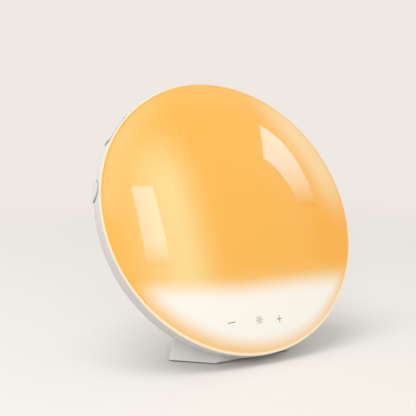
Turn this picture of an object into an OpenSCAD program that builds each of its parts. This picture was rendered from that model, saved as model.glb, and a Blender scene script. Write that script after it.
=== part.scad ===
// Sunrise alarm clock: a shallow glowing disc that leans back on a low, faceted stand.
// Millimetres. +Z is up and the front looks along -Y. The origin lies on the table, under the middle of
// the clock's outline. The disc's own parts are drawn in the disc frame: x to the right, y up along the
// disc, z out of its front, with z = 0 on the front face of the glowing flange.

/* [Disc] */
// Outer radius of the glowing flange
rim_r = 95; // [92:1:98]
// Lean of the disc from upright, in degrees
tilt = 26.3; // [24:0.1:28]
// Depth from the flange's front face to the back
disc_depth = 38; // [37:0.5:40]
// Straight part of the side wall, behind the flange's front face
wall_d = 7; // [6.5:0.1:7.5]
// Radius of the round between side wall and back
corner_r = 12; // [11.5:0.1:12.5]
// Step between the flange's edge and the side wall
flange_step = 0.4; // [0.2:0.1:0.8]
// Wall of the rear housing
housing_t = 2.2; // [2:0.1:2.4]
// Gap between the table and the lowest point of the disc
table_gap = 3; // [2.5:0.1:4]

/* [Front] */
// Width of the flange outside the dome
flange_w = 1.8; // [1.4:0.1:2.4]
// Thickness of the flange
flange_t = 1.6; // [1.4:0.1:1.8]
// Rise of the dome above the flange
dome_h = 12; // [11:0.5:13]
// Wall of the dome
lens_t = 2; // [1.8:0.1:2.2]
// Depth of the skirt that enters the housing
skirt_d = 8.6; // [8.2:0.1:8.8]
// Wall of the skirt
skirt_t = 1.6; // [1.4:0.1:1.8]
// Number of hooks that hold the skirt
hook_count = 6; // [4:1:6]
// How far a hook stands out of the skirt
hook_out = 0.8; // [0.7:0.05:0.9]

/* [Light] */
// Height of the tray's floor behind the flange's front face
tray_floor_d = 13.4; // [13.2:0.1:13.6]
// Wall of the reflector tray
tray_t = 1.5; // [1.3:0.1:1.6]
// How far inside the rim the tray's flat floor ends
tray_floor_in = 21; // [19:1:22]
// Depth of the tray's rim, where the film lies
film_d = 4.2; // [4:0.1:4.4]
// Thickness of the diffusing film
film_t = 0.5; // [0.3:0.1:0.6]
// How far inside the rim the LED board ends
led_board_in = 22; // [22:0.5:24]
// Thickness of the circuit boards
board_t = 1.6; // [1.4:0.1:1.8]
// Radii of the rings of LED chips, as shares of the rim's
led_rings = [0.27, 0.46, 0.64];
// LED chips on each ring
led_counts = [12, 20, 28];
// How far inside the rim the tray screws are
tray_screw_in = 27; // [26:0.5:28]
// Number of tray screws
tray_screw_count = 6; // [3:1:6]

/* [Time display] */
// Width of the display module
display_w = 62; // [58:1:66]
// Height of the display module
display_h = 24; // [22:1:26]
// Thickness of the display module
display_t = 8; // [6:0.5:8]
// Height of one digit
digit_h = 16; // [14:0.5:17]
// Width of one digit
digit_w = 9; // [8:0.5:10]
// Width of a segment
segment_w = 1.6; // [1.2:0.1:1.8]

/* [Touch row] */
// Places of the three touch pads along the disc's x
touch_xs = [-23, -2, 14.5];
// How far inside the rim the touch pads are
touch_in = 22; // [21:0.5:23]
// Radius of a foam pad
touch_pad_r = 4; // [3:0.25:4.5]

/* [Side controls] */
// Angle of the round button's centre, counter-clockwise from +x
button_at = 164; // [162:0.5:166]
// Radius of the round button
button_r = 7.25; // [6.5:0.25:7.5]
// Angle at which the pair of long keys meets
keys_at = 130.3; // [129:0.1:132]
// Length of one long key
key_len = 20.5; // [19.5:0.5:21]
// Width of the long keys
key_w = 11; // [10:0.5:11]
// Round on the keys' outer corners
key_corner_r = 2.4; // [1.5:0.1:3]
// How far the round button and the keys stand out of the wall
key_proud = 0.95; // [0.8:0.05:1.1]
// Running gap round the button and the keys
key_gap = 0.3; // [0.25:0.05:0.35]
// Travel of the button and the keys
key_travel = 0.6; // [0.4:0.05:0.65]

/* [Sound] */
// Height of the speaker's centre above the disc's centre
speaker_up = 20; // [18:0.5:22]
// Radius of the speaker's mounting flange
speaker_r = 28; // [27:0.5:28.5]
// Radius of the grille
grille_r = 22; // [21.5:0.25:22]
// Rings of holes round the grille's central hole
grille_rings = 4; // [2:1:4]
// Radius of a grille hole
grille_hole_r = 1.1; // [0.8:0.1:1.3]

/* [Power and control] */
// Width of the main board
main_board_w = 92; // [90:1:94]
// Height of the main board
main_board_h = 40; // [39:0.5:41]
// Place of the power inlet, from the main board's right and upper edges
inlet_in = [10, 22];
// Radius of the inlet's socket
inlet_bore_r = 2.9; // [2.7:0.1:3]
// Radius of the coin cell
cell_r = 10; // [8:0.5:10]
// Thickness of the coin cell
cell_h = 3.2; // [2:0.1:3.6]

/* [Stand] */
// Width of the stand's front edge
stand_front_w = 57.2; // [54:0.5:60]
// Width of the stand at its widest
stand_w = 101.2; // [98:0.5:104]
// Width of the stand's back edge
stand_back_w = 50; // [47:0.5:54]
// How far the front edge lies in front of the disc's centre
stand_front = 24.9; // [24:0.1:26]
// How far the widest points lie in front of the disc's centre
stand_widest = 1.7; // [1:0.1:2.5]
// How far the back edge lies behind the disc's centre
stand_back = 38.4; // [37:0.1:40]
// Lean of the two front side faces from upright, in degrees
side_front_lean = 37.9; // [36:0.1:39]
// Lean of the two rear side faces
side_back_lean = 17.5; // [16:0.1:19]
// Lean of the rear face
back_lean = 35; // [33:0.5:37]
// Wall of the stand
stand_t = 2.4; // [2.2:0.1:2.6]
// Gap between the stand's edge and the table
foot_gap = 0.8; // [0.6:0.1:1]
// Thickness of the base plate
base_t = 2; // [1.8:0.1:2.4]
// Thickness of the steel ballast
ballast_t = 6; // [4:0.5:6.5]
// Radius of a foot pad
foot_r = 5; // [4:0.25:5.5]

/* [Hidden] */
$fn = 96;

// Clearances
eps = 0.01;             // lets a cut run just past a face
seam = 0.15;            // parting line between the flange and the housing's edge
skirt_gap = 0.35;       // between the skirt and the housing's wall
hook_gap = 0.3;         // round a hook in its pocket
tray_gap = 0.45;        // between the tray's rim and the skirt
part_gap = 0.3;         // between neighbouring parts that don't touch
screw_gap = 0.3;        // round a shank in a clearance hole
thread_gap = 0.05;      // round a shank in its boss
cradle_gap = 0.25;      // between the disc's back and the stand's cradle
plate_gap = 0.2;        // between the base plate and the stand's wall

// Screws: shank radius, head radius and head height
m3 = [1.45, 2.7, 1.6];
m25 = [1.2, 2.2, 1.2];
m2 = [0.95, 1.8, 1];

// Disc outline: wall, corner arc and shallow back sphere, each running into the next
wall_r = rim_r - flange_step;
corner_c = wall_r - corner_r;
back_rise = disc_depth - wall_d;
back_r = (corner_c^2 + back_rise^2 - corner_r^2) / (2 * (back_rise - corner_r));
back_cz = back_r - disc_depth;
back_dir = [corner_c, -wall_d - back_cz] / (back_r - corner_r);

// Dome
dome_r = rim_r - flange_w;
dome_sphere_r = (dome_r^2 + dome_h^2) / (2 * dome_h);
dome_cz = dome_h - dome_sphere_r;
skirt_r = wall_r - housing_t - skirt_gap;
hook_w = 8;             // degrees
hook_d = [6.2, 7.6];
skirt_from = 174;       // the skirt runs from here, round the bottom, to skirt_to
skirt_to = 468;

// The disc's place over the table: its lowest point clears the table, and the outline is centred in Y
disc_z = corner_c * cos(tilt) + wall_d * sin(tilt) + corner_r + table_gap;
disc_y = -(corner_c * sin(tilt) + wall_d * cos(tilt) + corner_r - rim_r * sin(tilt)) / 2;

// Height of the back's and the dome's surface at a distance r from the axis, moved inwards by inset
function back_z(r, inset = 0) = back_cz - sqrt((back_r - inset)^2 - r^2);
function dome_z(r, inset = 0) = dome_cz + sqrt((dome_sphere_r - inset)^2 - r^2);

white = "#f1f0ee";
opal = "#fbb850";
board_green = "#2f6b45";
steel = "#b9bcc0";

// ---------- frames and shared shapes ----------

// Puts the disc frame where the disc leans
module in_disc() translate([0, disc_y, disc_z]) rotate([90 - tilt, 0, 0]) children();

// Frame on the side wall's outer face: x runs backwards along the wall, y round the rim, z outwards
module on_wall(around, down)
    rotate([0, 0, around]) translate([corner_c, 0, -wall_d]) rotate([0, 90 + down, 0])
        translate([0, 0, corner_r]) children();

// Half outline of the disc's wall and corner arc, moved inwards by inset
corner = [corner_c, -wall_d];
reach = 2 * corner_r;
module rim_outline(inset) {
    translate([0, -wall_d]) square([wall_r - inset, wall_d]);
    intersection() {
        translate(corner) circle(corner_r - inset);
        polygon([corner, corner + [reach, 0], corner + [reach, -reach], corner + reach * back_dir]);
    }
}

// Half outline of the whole disc, moved inwards by inset
module disc_outline(inset) {
    rim_outline(inset);
    intersection() {
        translate([0, back_cz]) circle(back_r - inset);
        polygon([[0, -wall_d], corner, corner + reach * back_dir, [0, -disc_depth - reach]]);
    }
}

module disc_solid(inset) rotate_extrude() disc_outline(inset);

// The disc's edge, moved inwards by inset, for 25 degrees either side of an angle
module rim_sector(inset, around) rotate([0, 0, around - 25]) rotate_extrude(angle = 50) intersection() {
    rim_outline(inset);
    translate([corner_c - corner_r, -reach]) square([2 * reach, 2 * reach]);
}

module ring(outer, inner, h) difference() {
    cylinder(r = outer, h = h);
    translate([0, 0, -eps]) cylinder(r = inner, h = h + 2 * eps);
}

// Pan head screw: the head's seat is at z = 0 and the shank runs down
module screw(size, len) {
    translate([0, 0, -len]) cylinder(r = size[0], h = len + size[2] / 2);
    difference() {
        cylinder(r = size[1], h = size[2]);
        translate([0, 0, size[2] / 2]) cylinder(r = size[0] / 1.6, h = size[2], $fn = 6);
    }
}

// ---------- front ----------

module front_diffuser() color(opal) in_disc() {
    edge_r = flange_t / 2;
    edge = [for (a = [-90 : 22.5 : 90]) [rim_r - edge_r + edge_r * cos(a), edge_r * (sin(a) - 1)]];
    rotate_extrude() difference() {
        union() {
            intersection() {
                translate([0, dome_cz]) circle(dome_sphere_r);
                translate([0, -eps]) square([dome_r, dome_h + 2 * eps]);
            }
            polygon([[0, -flange_t], each edge, [0, 0]]);
        }
        intersection() {
            translate([0, dome_cz]) circle(dome_sphere_r - lens_t);
            translate([-eps, -skirt_d]) square([skirt_r - 1.5 * skirt_t, skirt_d + dome_h]);
        }
    }
    rotate([0, 0, skirt_from]) rotate_extrude(angle = skirt_to - skirt_from)
        translate([skirt_r - skirt_t, -skirt_d]) square([skirt_t, skirt_d - flange_t / 2]);
    hooks(0, skirt_r - skirt_t / 2);
}

// The skirt's hooks, or with a gap their pockets in the housing
module hooks(gap, from_r) {
    step = (skirt_to - skirt_from) / hook_count;
    for (i = [0 : hook_count - 1])
        rotate([0, 0, skirt_from + (i + 0.5) * step - (hook_w + gap) / 2])
            rotate_extrude(angle = hook_w + gap)
                translate([from_r, -hook_d[1] - gap])
                    square([skirt_r + hook_out + gap - from_r, hook_d[1] - hook_d[0] + 2 * gap]);
}

// ---------- light ----------

tray_r = skirt_r - skirt_t - tray_gap;
tray_floor_r = rim_r - tray_floor_in;
led_board_r = rim_r - led_board_in;
tray_screw_r = rim_r - tray_screw_in;
touch_down = rim_r - touch_in;
film_r = tray_r - 1.6;
tray_floor_z = -tray_floor_d + tray_t;
led_z = tray_floor_z + board_t;         // front face of the LED board
led_chip = [3.5, 2.8, 0.8];
header_at = [0, -20];
header_size = [20, 5];

// Room that the side controls' boards and switches need behind the wall, and the wedge between the two rooms
module controls_room() {
    room_w = key_w + 7;
    ends = [for (c = controls) atan((c[2] + 2) / wall_r)];
    first = controls[0][0] - ends[0];
    last = controls[1][0] + ends[1];
    wedge = [
        (first + last) / 2, (controls[0][1] + controls[1][1]) / 2,
        max(1, wall_r * tan((first - last) / 2)), max(controls[0][3], controls[1][3])
    ];
    for (c = concat(controls, [wedge])) on_wall(c[0], c[1])
        translate([-room_w / 2, -c[2] - 2, -c[3] - 2.5]) cube([room_w, 2 * c[2] + 4, c[3] + 4]);
}

module reflector_tray() color(white) in_disc() difference() {
    union() {
        rotate_extrude() polygon([
            [0, -tray_floor_d], [tray_floor_r + tray_t, -tray_floor_d],
            [tray_r - 1.5, -film_d - 1], [tray_r, -film_d - 1], [tray_r, -film_d + 0.8],
            [film_r + part_gap, -film_d + 0.8], [film_r + part_gap, -film_d],
            [film_r - 1.6, -film_d], [tray_floor_r, tray_floor_z], [0, tray_floor_z]
        ]);
        touch_posts(0);
    }
    controls_room();
    for_tray_screws() cylinder(r = m25[0] + screw_gap, h = 3 * tray_t, center = true);
    translate([header_at[0], header_at[1], -tray_floor_d])
        cube([header_size[0] + 1, header_size[1] + 1, 3 * tray_t], center = true);
    touch_screw_holes();
}

// Posts on the tray's slope that carry the touch board, or with a gap their room in the film
touch_post_xs = [-31, 22.5];
touch_post_r = 2.6;
touch_board_z = -film_d + film_t + part_gap;
module touch_posts(gap) for (x = touch_post_xs) {
    y = -touch_down - 2;
    slope = (film_r - 1.6 - tray_floor_r) / (tray_floor_z + film_d);
    low = tray_floor_z - (norm([x, y]) - tray_floor_r) / slope - tray_t / 2 + 0.3;
    translate([x, y, low]) cylinder(r = touch_post_r + gap, h = touch_board_z - low);
}
module touch_screw_holes() for (x = touch_post_xs)
    translate([x, -touch_down - 2, touch_board_z - 4.2]) cylinder(r = m2[0] + thread_gap, h = 4.2 + eps);

module for_tray_screws() for (i = [0 : tray_screw_count - 1])
    rotate([0, 0, 30 + i * 360 / tray_screw_count]) translate([tray_screw_r, 0, tray_floor_z]) children();

module diffuser_film() color("#fff4e0", 0.8) in_disc() difference() {
    translate([0, 0, -film_d]) cylinder(r = film_r, h = film_t);
    translate([0, 0, -film_d]) cube([display_w + 1, display_h + 1, 4 * film_t], center = true);
    controls_room();
    touch_posts(part_gap);
}

module led_board() color(white) in_disc() difference() {
    translate([0, 0, tray_floor_z]) cylinder(r = led_board_r, h = board_t);
    for_tray_screws() translate([0, 0, -eps]) cylinder(r = m25[0] + screw_gap, h = board_t + 2 * eps);
}

module led_chips() color("#ffe9b0") in_disc()
    for (k = [0 : len(led_rings) - 1], i = [0 : led_counts[k] - 1])
        rotate([0, 0, i * 360 / led_counts[k]])
            translate([led_rings[k] * rim_r - led_chip[1] / 2, -led_chip[0] / 2, led_z])
                cube([led_chip[1], led_chip[0], led_chip[2]]);

module tray_screws() color(steel) in_disc() for_tray_screws()
    translate([0, 0, board_t]) screw(m25, board_t + tray_t + 6);

// ---------- time display ----------

display_front = dome_z(norm([display_w, display_h]) / 2, lens_t) - 1.6;
display_leg_r = 1.6;
segment_d = 1;          // depth of a segment's window
segment_margin = 0.1;   // the windows stop short of each other, and the bars of their windows

module display_module() color("#e9e7e2") in_disc() difference() {
    union() {
        translate([-display_w / 2, -display_h / 2, display_front - display_t])
            cube([display_w, display_h, display_t]);
        for (x = [-1, 1], y = [-1, 1])
            translate([x * (display_w / 2 - 4), y * (display_h / 2 - 4), led_z])
                cylinder(r = display_leg_r, h = display_front - display_t / 2 - led_z);
    }
    segments(segment_margin);
}

module display_segments() color("#fff3dc") in_disc() segments(2 * segment_margin);

// The lit bars of four digits and the colon, all round smaller by a margin
module segments(margin) {
    pitch = digit_w + 3.4;
    for (place = [-1.75, -0.75, 0.75, 1.75]) translate([place * pitch, 0, display_front - segment_d]) {
        for (y = [-1, 0, 1]) translate([0, y * (digit_h - segment_w) / 2, 0])
            bar(digit_w - 2 * segment_w, segment_w, margin);
        for (x = [-1, 1], y = [-1, 1])
            translate([x * (digit_w - segment_w) / 2, y * (digit_h - segment_w) / 4, 0])
                bar(segment_w, (digit_h - 3 * segment_w) / 2, margin);
    }
    for (y = [-1, 1]) translate([0, y * digit_h / 5, display_front - segment_d])
        bar(segment_w, segment_w, margin);
}

module bar(w, h, margin) translate([-w / 2 + margin, -h / 2 + margin, 0])
    cube([w - 2 * margin, h - 2 * margin, segment_d + (margin > segment_margin ? -margin : eps)]);

// ---------- touch row ----------

touch_board_t = 1.2;
module touch_board() color(board_green) in_disc() difference() {
    translate([touch_post_xs[0] - 3, -touch_down - 6, touch_board_z])
        cube([touch_post_xs[1] - touch_post_xs[0] + 6, 11, touch_board_t]);
    for (x = touch_post_xs) translate([x, -touch_down - 2, touch_board_z - eps])
        cylinder(r = m2[0] + screw_gap, h = touch_board_t + 2 * eps);
}

module touch_foam_pads() color("#4a4a4c") in_disc() intersection() {
    for (x = touch_xs) translate([x, -touch_down, touch_board_z + touch_board_t])
        cylinder(r = touch_pad_r, h = dome_h);
    translate([0, 0, dome_cz]) sphere(r = dome_sphere_r - lens_t - 0.1, $fn = 200);
}

module touch_board_screws() color(steel) in_disc() for (x = touch_post_xs)
    translate([x, -touch_down - 2, touch_board_z + touch_board_t]) screw(m2, 5);

// ---------- rear housing ----------

// Each set of side controls: angle round the rim, angle down the corner arc, half length of its board
// and depth of the board's inner face below the wall's outer face
button_down = asin(3.3 / corner_r);
keys_down = asin(1.3 / corner_r);
lug_w = 1.6;            // the lugs that keep a cap in: how far they stand out, and their thickness
lug_t = 1.1;
// Flat undersides of the caps, below the wall's outer face: the lugs clear the curved wall behind it
cap_low = housing_t + part_gap + lug_t + (button_r + lug_w)^2 / (2 * wall_r) + 0.55;
key_low = housing_t + part_gap + lug_t + (key_len + lug_w)^2 / (2 * wall_r) + 0.8;
stem_low = cap_low + 1.7;
key_stem_low = key_low + 0.6;
switch_h = 3.5;
button_board_low = stem_low + key_travel + part_gap + switch_h + board_t;
keys_board_low = key_stem_low + key_travel + part_gap + switch_h + board_t;
button_board = 12.5;
keys_board = key_len + 6;
controls = [
    [button_at, button_down, button_board, button_board_low],
    [keys_at, keys_down, keys_board, keys_board_low]
];
post_l = 3;
key_board_w = 11;
catch_l = 6;            // length of a key's side lug, and its distance from where the keys meet
catch_at = 3;

speaker_seat = -29;     // face of the speaker's mounting ring, in disc z
speaker_screw_r = speaker_r - 2.6;
main_board_z = -17;     // rear face of the main board
board_top = -12;        // the board's upper edge
main_board_y = board_top - main_board_h / 2;
inlet_at = [main_board_w / 2 - inlet_in[0], board_top - inlet_in[1]];
inlet_seat = -28.2;     // face of the inlet's pad inside the housing
inlet_face = -30.2;     // floor of the recess round the inlet, on the outside
inlet_r = norm(inlet_at);
stand_bolt_at = [18, 33 - rim_r];

module for_main_screws() for (x = [-1, 1], y = [-1, 1])
    translate([x * (main_board_w / 2 - 5), main_board_y + y * (main_board_h / 2 - 5), main_board_z])
        children();

module for_speaker_screws() for (i = [0 : 3]) translate([0, speaker_up, speaker_seat])
    rotate([0, 0, 45 + 90 * i]) translate([speaker_screw_r, 0, 0]) children();

module for_stand_bolts() for (x = [-1, 1])
    translate([x * stand_bolt_at[0], stand_bolt_at[1], 0]) children();

// The posts' screws of the side boards: seat on the inner face of each board, shank towards the wall
module for_key_screws() for (c = controls, y = [-1, 1]) on_wall(c[0], c[1])
    translate([0, y * (c[2] - post_l / 2), -c[3]]) rotate([180, 0, 0]) children();

module rear_housing() color(white) in_disc() difference() {
    union() {
        rotate_extrude() intersection() {
            difference() {
                disc_outline(0);
                disc_outline(housing_t);
            }
            translate([0, -2 * disc_depth]) square([2 * rim_r, 2 * disc_depth - flange_t - seam]);
        }
        intersection() {
            disc_solid(housing_t / 2);
            housing_posts();
        }
    }
    housing_cuts();
}

// Bosses and pads inside the housing, before its wall trims them
module housing_posts() {
    for_tray_screws() translate([0, 0, -tray_t - 2 * disc_depth]) cylinder(r = 3.6, h = 2 * disc_depth);
    for_main_screws() translate([0, 0, -disc_depth]) cylinder(r = 3, h = disc_depth);
    translate([0, speaker_up, speaker_seat - disc_depth])
        ring(speaker_r + 0.5, grille_r + 0.5, disc_depth);
    translate([inlet_at[0], inlet_at[1], inlet_seat - disc_depth]) cylinder(r = 8.8, h = disc_depth);
    for_stand_bolts() translate([0, 0, -2 * disc_depth - 16]) cylinder(r = 4.2, h = 2 * disc_depth);
    for (c = controls, y = [-1, 1]) on_wall(c[0], c[1])
        translate([-3, y * (c[2] - post_l / 2) - post_l / 2, -c[3] + board_t]) cube([6, post_l, c[3]]);
}

// Slots, holes and pockets in the housing
module housing_cuts() {
    hooks(hook_gap, skirt_r - 1);
    on_wall(button_at, button_down) translate([0, 0, -2 * cap_low])
        cylinder(r = button_r + key_gap, h = 3 * cap_low);
    on_wall(keys_at, keys_down) translate([0, 0, -key_low - 3])
        linear_extrude(key_low + 8) rounded(key_w + 2 * key_gap, 2 * (key_len + key_gap), key_corner_r);
    for_tray_screws() translate([0, 0, -tray_t - 8]) cylinder(r = m25[0] + thread_gap, h = 8 + eps);
    for_main_screws() translate([0, 0, -6]) cylinder(r = m2[0] + thread_gap, h = 6 + eps);
    for_speaker_screws() translate([0, 0, -3.2]) cylinder(r = m2[0] + thread_gap, h = 3.2 + eps);
    for_key_screws() translate([0, 0, -4.6 - board_t]) cylinder(r = m2[0] + thread_gap, h = 4.6 + board_t);
    for_stand_bolts() translate([0, 0, -disc_depth - 2]) cylinder(r = m3[0] + thread_gap, h = 20.5);
    translate([0, speaker_up, -2 * disc_depth]) cylinder(r = grille_r - 1.5, h = 1.5 * disc_depth);
    difference() {
        translate([0, speaker_up, -2 * disc_depth]) cylinder(r = grille_r, h = 1.5 * disc_depth);
        disc_solid(grille_t);
    }
    translate([inlet_at[0], inlet_at[1], 0]) {
        translate([0, 0, inlet_face - disc_depth]) cylinder(r = 7, h = disc_depth);
        translate([0, 0, inlet_face - eps]) cylinder(r = inlet_nose_r + part_gap, h = 10);
        translate([-inlet_body[0] / 2 - 0.5, -inlet_body[1] / 2 - 0.5, inlet_seat])
            cube([inlet_body[0] + 1, inlet_body[1] + 1, 6]);
    }
}

// Rectangle with round corners, made of squares and circles
module rounded(w, h, r) {
    square([w - 2 * r, h], center = true);
    square([w, h - 2 * r], center = true);
    for (x = [-1, 1], y = [-1, 1]) translate([x * (w / 2 - r), y * (h / 2 - r)]) circle(r);
}

// ---------- side controls ----------

module power_button() color(white) in_disc() {
    intersection() {
        rim_sector(-key_proud, button_at);
        on_wall(button_at, button_down) translate([0, 0, -cap_low]) cylinder(r = button_r, h = 2 * cap_low);
    }
    on_wall(button_at, button_down) {
        translate([-3, -button_r - lug_w, -cap_low]) cube([6, 2 * (button_r + lug_w), lug_t]);
        translate([0, 0, -stem_low]) cylinder(r = 2.4, h = stem_low - cap_low / 2);
    }
}

// One long key; side is -1 for the upper key and 1 for the lower one
module long_key(side) {
    intersection() {
        rim_sector(-key_proud, keys_at);
        on_wall(keys_at, keys_down) translate([0, 0, -key_low]) linear_extrude(2 * key_low)
            intersection() {
                rounded(key_w, 2 * key_len, key_corner_r);
                translate([-key_w, side > 0 ? key_gap : -2 * key_len])
                    square([2 * key_w, 2 * key_len - key_gap]);
            }
    }
    on_wall(keys_at, keys_down) {
        translate([-3.5, side > 0 ? key_len - 2 : -key_len - lug_w, -key_low])
            cube([7, lug_w + 2, lug_t]);
        translate([0, side > 0 ? catch_at : -catch_at - catch_l, -key_low])
            cube([key_w / 2 + lug_w, catch_l, lug_t]);
        translate([0, side * key_len / 2, -key_stem_low]) cylinder(r = 2.4, h = key_stem_low - key_low / 2);
    }
}

module upper_key() color(white) in_disc() long_key(-1);
module lower_key() color(white) in_disc() long_key(1);

// Frames of the three switches, on the boards' outer faces
module on_power_switch() on_wall(button_at, button_down)
    translate([0, 0, board_t - button_board_low]) children();
module on_key_switch(side) on_wall(keys_at, keys_down)
    translate([0, side * key_len / 2, board_t - keys_board_low]) children();

plunger_r = 1.6;
module plunger() translate([0, 0, switch_h + key_travel + part_gap - 1.6]) cylinder(r = plunger_r, h = 1.6);
module power_plunger() color("#3a3a3c") in_disc() on_power_switch() plunger();
module upper_key_plunger() color("#3a3a3c") in_disc() on_key_switch(-1) plunger();
module lower_key_plunger() color("#3a3a3c") in_disc() on_key_switch(1) plunger();

module switch_body() difference() {
    translate([-3, -3, 0]) cube([6, 6, switch_h]);
    translate([0, 0, switch_h - 1.8]) cylinder(r = plunger_r + part_gap, h = 2);
}
module key_switches() color("#26262a") in_disc() {
    on_power_switch() switch_body();
    for (side = [-1, 1]) on_key_switch(side) switch_body();
}

module key_boards() color(board_green) in_disc() difference() {
    for (c = controls) on_wall(c[0], c[1])
        translate([-key_board_w / 2, -c[2], -c[3]]) cube([key_board_w, 2 * c[2], board_t]);
    for_key_screws() translate([0, 0, -board_t - 1]) cylinder(r = m2[0] + screw_gap, h = board_t + 2);
}

module key_board_screws() color(steel) in_disc() for_key_screws() screw(m2, board_t + 4);

// ---------- sound ----------

grille_t = 1.6;
grille_pitch = 4.2;
module speaker_grille() color(white) in_disc() difference() {
    intersection() {
        rotate_extrude() difference() {
            disc_outline(0);
            disc_outline(grille_t);
        }
        translate([0, speaker_up, -2 * disc_depth]) cylinder(r = grille_r - 0.15, h = 1.5 * disc_depth);
    }
    translate([0, speaker_up, -2 * disc_depth]) {
        cylinder(r = grille_hole_r, h = 1.5 * disc_depth);
        for (k = [1 : grille_rings], i = [0 : 6 * k - 1]) rotate([0, 0, i * 60 / k])
            translate([k * grille_pitch, 0, 0]) cylinder(r = grille_hole_r, h = 1.5 * disc_depth);
    }
}

// The speaker fires backwards; its parts are drawn from the mounting ring forwards
module on_speaker() translate([0, speaker_up, speaker_seat]) children();
gasket_t = 0.8;
basket_t = 1;
frame_h = 9;            // from the mounting ring to the basket's floor
magnet_h = 5;
magnet_r = 12;
coil_r = 6.4;
cone_r = grille_r - 4;
surround_r = grille_r - 0.6;

module speaker_gasket() color("#2c2c2e") in_disc() on_speaker() difference() {
    ring(speaker_r, grille_r + 0.5, gasket_t);
    for (i = [0 : 3]) rotate([0, 0, 45 + 90 * i]) translate([speaker_screw_r, 0, -eps])
        cylinder(r = m2[0] + screw_gap, h = 2 * gasket_t);
}

module speaker_basket() color("#3b3d40") in_disc() on_speaker() difference() {
    rotate_extrude() {
        translate([surround_r - 0.4, gasket_t]) square([speaker_r - surround_r + 0.4, basket_t]);
        polygon([
            [surround_r + 0.6, gasket_t + basket_t / 2], [surround_r + 2, gasket_t + basket_t / 2],
            [magnet_r + 2, frame_h], [coil_r + 1, frame_h], [coil_r + 1, frame_h - basket_t],
            [magnet_r + 0.8, frame_h - basket_t]
        ]);
    }
    for (i = [0 : 3]) rotate([0, 0, 45 + 90 * i]) {
        translate([speaker_screw_r, 0, 0]) cylinder(r = m2[0] + screw_gap, h = 3);
        rotate([0, 0, 45]) translate([magnet_r + 1.5, -4, gasket_t + basket_t + 0.4])
            cube([10, 8, frame_h - 4.6]);
    }
}

module speaker_magnet() color(steel) in_disc() on_speaker() translate([0, 0, frame_h]) difference() {
    cylinder(r = magnet_r, h = magnet_h);
    translate([0, 0, -eps]) ring(coil_r + 0.9, coil_r - 0.9, magnet_h - 1.4);
}

module speaker_surround() color("#1f1f21") in_disc() on_speaker() rotate_extrude() {
    mid = (cone_r + surround_r) / 2 + 0.05;
    outer = (surround_r - cone_r) / 2 - 0.35;
    intersection() {
        translate([mid, gasket_t]) difference() {
            circle(outer);
            circle(outer - 0.4);
        }
        translate([mid - outer, gasket_t - outer]) square([2 * outer, outer]);
    }
    translate([mid + outer - 0.4, gasket_t - 0.4]) square([grille_r + 0.6 - mid - outer, 0.4]);
}

module speaker_cone() color("#4b4a48") in_disc() on_speaker() rotate_extrude() polygon([
    [cone_r - 0.1, gasket_t - 0.2], [cone_r - 0.1, gasket_t + 0.4], [coil_r + 0.3, frame_h - 3],
    [coil_r + 0.3, frame_h - 3.6], [coil_r + 0.9, frame_h - 3.6]
]);

module dust_cap() color("#39383a") in_disc() on_speaker() rotate_extrude() {
    cap_r = 11;
    cap_z = frame_h - 3.6 + sqrt(cap_r^2 - (coil_r + 0.3)^2);
    intersection() {
        translate([0, cap_z]) difference() {
            circle(cap_r);
            circle(cap_r - 0.5);
        }
        translate([0, frame_h - 3.6 - cap_r]) square([coil_r + 0.3, cap_r]);
    }
}

module voice_coil() color("#b66a3a") in_disc() on_speaker() translate([0, 0, frame_h - 3.6])
    ring(coil_r + 0.3, coil_r - 0.3, 5.6);

module speaker_screws() color(steel) in_disc() for_speaker_screws()
    translate([0, 0, gasket_t + basket_t]) screw(m2, gasket_t + basket_t + 2.8);

// ---------- power and control ----------

inlet_nose_r = 4.5;
inlet_body = [10, 10];
inlet_bore_d = 9.5;
pin_r = 1;

module main_board() color(board_green) in_disc() difference() {
    translate([-main_board_w / 2, main_board_y - main_board_h / 2, main_board_z])
        cube([main_board_w, main_board_h, board_t]);
    for_main_screws() translate([0, 0, -eps]) cylinder(r = m2[0] + screw_gap, h = board_t + 2 * eps);
}

module main_board_screws() color(steel) in_disc() for_main_screws()
    translate([0, 0, board_t]) screw(m2, board_t + 5);

// Chips on the board's rear face: place from the board's middle, width, height and thickness
chips = [
    [-8, 2, 10, 10, 1.6], [12, 10, 6, 5, 1.5], [20, -14, 7, 6, 2], [-12, -15, 5, 4, 1.4], [4, -6, 5, 5, 1.2]
];
module board_chips() color("#1d1d20") in_disc() for (c = chips)
    translate([c[0] - c[2] / 2, main_board_y + c[1] - c[3] / 2, main_board_z - c[4]])
        cube([c[2], c[3], c[4]]);

capacitor_h = 7;
module board_capacitors() color("#3d4a63") in_disc() for (at = [[6, -15], [13, -6], [22, -4]])
    translate([at[0], main_board_y + at[1], main_board_z - capacitor_h]) cylinder(r = 2.5, h = capacitor_h);

module board_header() color("#1d1d20") in_disc()
    translate([header_at[0] - header_size[0] / 2, header_at[1] - header_size[1] / 2, main_board_z + board_t])
        cube([header_size[0], header_size[1], tray_floor_z - main_board_z - board_t]);

cell_at = [7 + cell_r - main_board_w / 2, main_board_y];
cell_holder_t = 1.2;
module coin_cell_holder() color("#1d1d20") in_disc()
    translate([cell_at[0], cell_at[1], main_board_z - cell_h - 0.6 - cell_holder_t / 2]) difference() {
        union() {
            cylinder(r = cell_r + cell_holder_t, h = cell_h + 0.6 + cell_holder_t / 2);
            translate([-3, cell_r, 0]) cube([6, cell_holder_t + 1, cell_h + 0.6 + cell_holder_t / 2]);
        }
        translate([0, 0, -1]) cylinder(r = cell_r + 0.15, h = 1 + cell_h + cell_holder_t / 2);
        translate([0, -cell_r, 0]) cube([8, 2 * cell_r, 2 * cell_h], center = true);
    }
module coin_cell() color(steel) in_disc()
    translate([cell_at[0], cell_at[1], main_board_z - cell_h - 0.6]) cylinder(r = cell_r, h = cell_h);

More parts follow.
